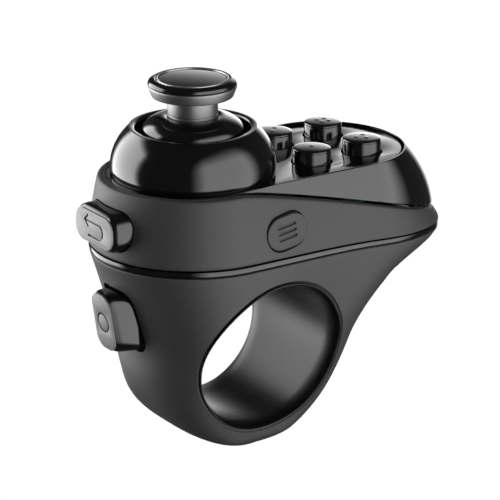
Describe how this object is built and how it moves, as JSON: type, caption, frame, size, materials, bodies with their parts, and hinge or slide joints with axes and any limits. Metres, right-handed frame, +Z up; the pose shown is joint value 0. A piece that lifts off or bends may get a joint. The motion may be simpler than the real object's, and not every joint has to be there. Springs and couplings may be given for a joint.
{
  "type": "vr motion controller",
  "caption": "Finger-ring motion controller with a thumb stick, round face buttons, a side menu button, and a back button and trigger on the nose.",
  "frame": {"origin": "centre of the finger bore", "axes": "+Y along the bore, +Z up through the thumb stick side, +X towards the tail, -X the nose"},
  "size_m": [0.0569, 0.03, 0.0543],
  "materials": {
    "soft_black": "soft-touch moulded plastic with a very fine grain",
    "gloss_black": "piano-black polished plastic",
    "satin_grey": "satin light grey button face with gloss black sides",
    "gunmetal": "turned, satin",
    "bright_metal": "polished ring",
    "steel": "plated steel",
    "board_green": "fibreglass board with solder mask",
    "chip_black": "moulded component plastic",
    "foil_silver": "foil or can",
    "amber_film": "flexible film"
  },
  "bodies": {
    "root": {"lower_shell": "soft_black", "upper_shell": "soft_black", "trim_band": "gloss_black", "ring_liner": "gloss_black", "top_cover": "gloss_black", "button_plate": "gloss_black", "stick_collar": "gloss_black", "stick_case": "chip_black", "centring_washer": "steel", "centring_spring": "steel", "stick_sensor": "chip_black", "face_switch_1": "chip_black", "face_switch_2": "chip_black", "face_switch_3": "chip_black", "face_switch_4": "chip_black", "back_switch": "chip_black", "menu_switch": "chip_black", "menu_board": "board_green", "trigger_pin": "steel", "trigger_spring": "steel", "trigger_switch": "chip_black", "front_board": "board_green", "front_header": "chip_black", "main_board": "board_green", "key_board": "board_green", "flex_ribbon": "amber_film", "radio_module": "foil_silver", "battery": "foil_silver", "usb_port": "steel", "mode_switch_body": "foil_silver", "housing_screw_1": "steel", "board_screw_1": "steel", "housing_screw_2": "steel", "board_screw_2": "steel", "key_board_screw_1": "steel", "key_board_screw_2": "steel"},
    "gimbal": {"gimbal_ring": "steel"},
    "stick": {"stick_cap": "gloss_black", "stick_cap_ring": "bright_metal", "stick_cap_insert": "gloss_black", "stick_stem": "gunmetal", "stick_ball": "gloss_black", "stick_shaft": "steel", "stick_magnet": "foil_silver"},
    "key_1": {"face_button_1": "gloss_black"},
    "key_2": {"face_button_2": "gloss_black"},
    "key_3": {"face_button_3": "gloss_black"},
    "key_4": {"face_button_4": "gloss_black"},
    "menu_key": {"menu_button": "soft_black"},
    "back_key": {"back_button": "satin_grey"},
    "trigger": {"home_trigger": "satin_grey"},
    "mode_knob": {"mode_switch_knob": "chip_black"}
  },
  "joints": [
    {"name": "stick_side_tilt", "type": "hinge", "parent": "root", "child": "gimbal", "pos_m": [-0.0058, 0, 0.028], "axis": [1, 0, 0], "range_deg": [-13, 13], "stiffness_Nm_per_rad": 0.03},
    {"name": "stick_fore_tilt", "type": "hinge", "parent": "gimbal", "child": "stick", "pos_m": [-0.0058, 0, 0.028], "axis": [0, 1, 0], "range_deg": [-13, 13], "stiffness_Nm_per_rad": 0.03},
    {"name": "key_1_press", "type": "slide", "parent": "root", "child": "key_1", "axis": [0, 0, -1], "range_m": [0, 0.0006], "stiffness_N_per_m": 150, "springref_m": -0.0002},
    {"name": "key_2_press", "type": "slide", "parent": "root", "child": "key_2", "axis": [0, 0, -1], "range_m": [0, 0.0006], "stiffness_N_per_m": 150, "springref_m": -0.0002},
    {"name": "key_3_press", "type": "slide", "parent": "root", "child": "key_3", "axis": [0, 0, -1], "range_m": [0, 0.0006], "stiffness_N_per_m": 150, "springref_m": -0.0002},
    {"name": "key_4_press", "type": "slide", "parent": "root", "child": "key_4", "axis": [0, 0, -1], "range_m": [0, 0.0006], "stiffness_N_per_m": 150, "springref_m": -0.0002},
    {"name": "menu_press", "type": "slide", "parent": "root", "child": "menu_key", "axis": [0, 1, 0], "range_m": [0, 0.0006], "stiffness_N_per_m": 150, "springref_m": -0.0002},
    {"name": "back_press", "type": "slide", "parent": "root", "child": "back_key", "axis": [1, 0, 0], "range_m": [0, 0.0006], "stiffness_N_per_m": 200, "springref_m": -0.0002},
    {"name": "trigger_pull", "type": "hinge", "parent": "root", "child": "trigger", "pos_m": [-0.0159, 0, 0.012], "axis": [0, -1, 0], "range_deg": [0, 5], "stiffness_Nm_per_rad": 0.03, "springref_deg": -5.73},
    {"name": "mode_slide", "type": "slide", "parent": "root", "child": "mode_knob", "axis": [1, 0, 0], "range_m": [0, 0.002]}
  ]
}
